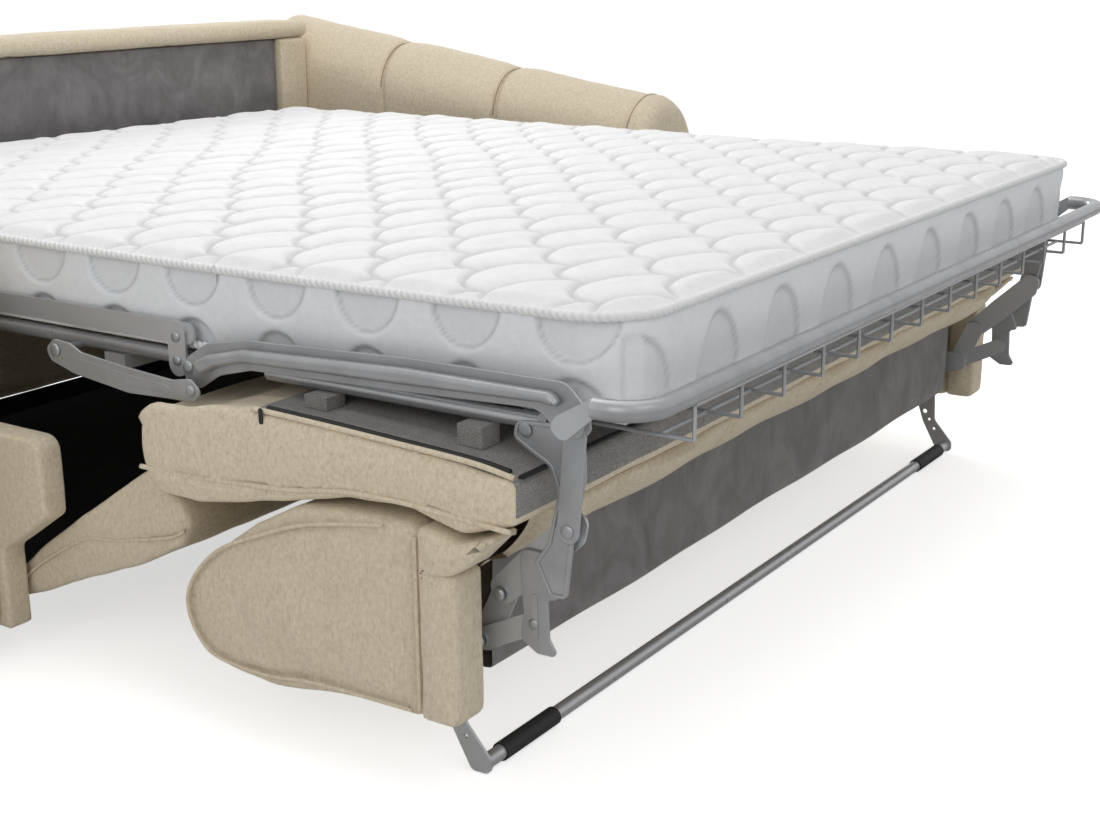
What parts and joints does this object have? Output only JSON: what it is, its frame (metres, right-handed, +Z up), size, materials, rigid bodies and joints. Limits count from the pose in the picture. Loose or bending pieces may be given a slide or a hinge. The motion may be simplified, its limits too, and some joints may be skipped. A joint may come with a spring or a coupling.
{
  "type": "sleeper sofa with pull out bed",
  "caption": "Upholstered sofa with its folding bed pulled out: mattress on a hinged steel frame, seat and back cushions turned under it, floor bar at the foot.",
  "frame": {"origin": "on the floor under the middle of the open sofa bed", "axes": "+Z up, +X to the right when looking from the foot of the bed to the back of the sofa, +Y towards the back of the sofa"},
  "size_m": [2.28, 2.1695, 0.822],
  "materials": {
    "beige_weave": "heathered beige woven upholstery",
    "grey_suede": "matt grey suede-like cloth",
    "grey_melange": "grey melange cloth",
    "navy_lining": "dark technical lining cloth",
    "mattress_cover": "white quilted mattress cover",
    "bed_mesh": "woven support net",
    "grey_paint": "silver-grey powder coat",
    "rivet_steel": "flat rivet heads",
    "black_rubber": "matt black sleeve",
    "black_plastic": "moulded feet"
  },
  "bodies": {
    "base": {"arm_left": "beige_weave", "arm_right": "beige_weave", "back_shell": "beige_weave", "back_panel": "grey_suede", "back_posts": "beige_weave", "back_roll": "beige_weave", "base_tray": "navy_lining", "front_cheek_left": "beige_weave", "front_cheek_right": "beige_weave", "feet": "black_plastic", "swing_bracket_left": "grey_paint", "swing_bracket_right": "grey_paint", "head_bracket_left": "grey_paint", "head_bracket_right": "grey_paint"},
    "swing_arms": {"swing_arm_left": "grey_paint", "swing_arm_right": "grey_paint"},
    "head_section": {"head_frame": "grey_paint", "head_mesh": "bed_mesh", "mattress_head": "mattress_cover"},
    "middle_section": {"middle_frame": "grey_paint", "middle_mesh": "bed_mesh", "mattress_middle": "mattress_cover", "upper_rail_left": "grey_paint", "upper_rail_right": "grey_paint", "rail_brackets": "grey_paint", "middle_crossbar": "grey_paint", "mattress_bend": "mattress_cover"},
    "foot_section": {"foot_frame": "grey_paint", "foot_mesh": "bed_mesh", "mattress_foot": "mattress_cover", "foot_rail": "grey_paint", "rail_tabs": "grey_paint", "wire_basket": "grey_paint", "seat_cushion": "beige_weave", "seat_straps": "grey_paint"},
    "fold_links": {"fold_link_left": "grey_paint", "fold_link_right": "grey_paint"},
    "lower_links": {"lower_link_left": "grey_paint", "lower_link_right": "grey_paint"},
    "drop_links": {"drop_link_left": "grey_paint", "drop_link_right": "grey_paint"},
    "curved_arms": {"curved_arm_left": "grey_paint", "curved_arm_right": "grey_paint"},
    "back_unit": {"back_cushion": "beige_weave", "back_corner_pads": "beige_weave", "back_frame": "grey_suede", "leg_plate_left": "grey_paint", "leg_plate_right": "grey_paint", "short_link_left": "grey_paint", "short_link_right": "grey_paint", "lever_left": "grey_paint", "lever_right": "grey_paint", "tie_links": "grey_paint", "hook_link_left": "grey_paint", "hook_link_right": "grey_paint", "linkage_rivets": "rivet_steel", "floor_bar": "grey_paint", "bar_sleeve_left": "black_rubber", "bar_sleeve_right": "black_rubber"},
    "apron": {"apron_pad": "beige_weave"}
  },
  "joints": [
    {"name": "head_swing", "type": "hinge", "parent": "base", "child": "head_section", "pos_m": [0, 0.96725, 0.4595], "axis": [1, 0, 0], "range_deg": [0, 90]},
    {"name": "arm_swing", "type": "hinge", "parent": "base", "child": "swing_arms", "pos_m": [0, 0.42725, 0.4595], "axis": [1, 0, 0], "range_deg": [0, 90]},
    {"name": "middle_level", "type": "hinge", "parent": "head_section", "child": "middle_section", "pos_m": [0, 0.57475, 0.472], "axis": [1, 0, 0], "range_deg": [-90, 0], "deforming": ["mattress_bend"]},
    {"name": "foot_fold", "type": "hinge", "parent": "middle_section", "child": "foot_section", "pos_m": [0, -0.41025, 0.609], "axis": [1, 0, 0], "range_deg": [-180, 0]},
    {"name": "fold_link_swing", "type": "hinge", "parent": "middle_section", "child": "fold_links", "pos_m": [0, -0.37988, 0.47], "axis": [1, 0, 0], "range_deg": [-152.25, 0]},
    {"name": "lower_link_swing", "type": "hinge", "parent": "middle_section", "child": "lower_links", "pos_m": [0, -0.14725, 0.467], "axis": [1, 0, 0], "range_deg": [-14, 0]},
    {"name": "curved_arm_swing", "type": "hinge", "parent": "foot_section", "child": "curved_arms", "pos_m": [0, -0.90225, 0.466], "axis": [1, 0, 0], "range_deg": [-12, 0]},
    {"name": "back_fold", "type": "hinge", "parent": "foot_section", "child": "back_unit", "pos_m": [0, -0.90225, 0.466], "axis": [1, 0, 0], "range_deg": [-90, 0]},
    {"name": "drop_link_swing", "type": "hinge", "parent": "back_unit", "child": "drop_links", "pos_m": [0, -0.96225, 0.358], "axis": [1, 0, 0], "range_deg": [-36, 0]},
    {"name": "apron_hang", "type": "hinge", "parent": "foot_section", "child": "apron", "pos_m": [0, -0.32825, 0.345], "axis": [1, 0, 0], "range_deg": [0, 124.4]}
  ],
  "couplings": [
    {"joint": "arm_swing", "follows": "head_swing", "ratio": 1},
    {"joint": "middle_level", "follows": "head_swing", "ratio": -1},
    {"joint": "foot_fold", "follows": "head_swing", "ratio": -2},
    {"joint": "fold_link_swing", "follows": "head_swing", "ratio": -1.6917},
    {"joint": "lower_link_swing", "follows": "head_swing", "ratio": -0.15556},
    {"joint": "curved_arm_swing", "follows": "head_swing", "ratio": -0.13333},
    {"joint": "back_fold", "follows": "head_swing", "ratio": -1},
    {"joint": "drop_link_swing", "follows": "head_swing", "ratio": -0.4},
    {"joint": "apron_hang", "follows": "head_swing", "ratio": 1.3822}
  ]
}
